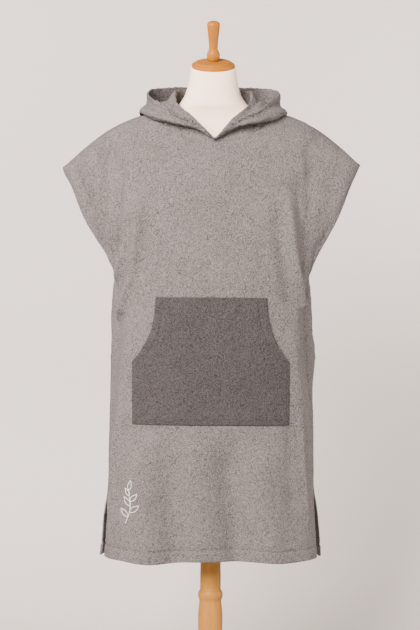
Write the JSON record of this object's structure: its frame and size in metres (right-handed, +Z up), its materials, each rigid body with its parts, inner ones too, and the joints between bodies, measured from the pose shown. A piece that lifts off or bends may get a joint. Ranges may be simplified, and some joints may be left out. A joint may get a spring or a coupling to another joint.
{
  "type": "hooded bath poncho on a dress form",
  "caption": "Sleeveless hooded terry bath poncho with a front pouch pocket and side slits, worn on a limbless dress form on a turned wooden stand.",
  "frame": {"origin": "centre of the stand base's underside, on the floor", "axes": "+Z up along the post, -Y towards the garment's front, +X to the right as seen from the front"},
  "size_m": [0.7, 0.38, 1.5924],
  "materials": {
    "terry_grey": "warm grey cotton terry with a short loop pile",
    "terry_dark": "dark grey cotton terry with a short loop pile",
    "form_cover": "smooth off-white jersey drawn tight over the form",
    "wood": "satin varnished beech, honey coloured"
  },
  "bodies": {
    "root": {"front_panel": "terry_grey", "back_panel": "terry_grey", "hood_left": "terry_grey", "hood_right": "terry_grey", "pocket": "terry_dark", "form_torso": "form_cover", "neck_cap": "wood", "cap_handle": "wood", "stand_post": "wood", "stand_base": "wood"}
  },
  "joints": []
}
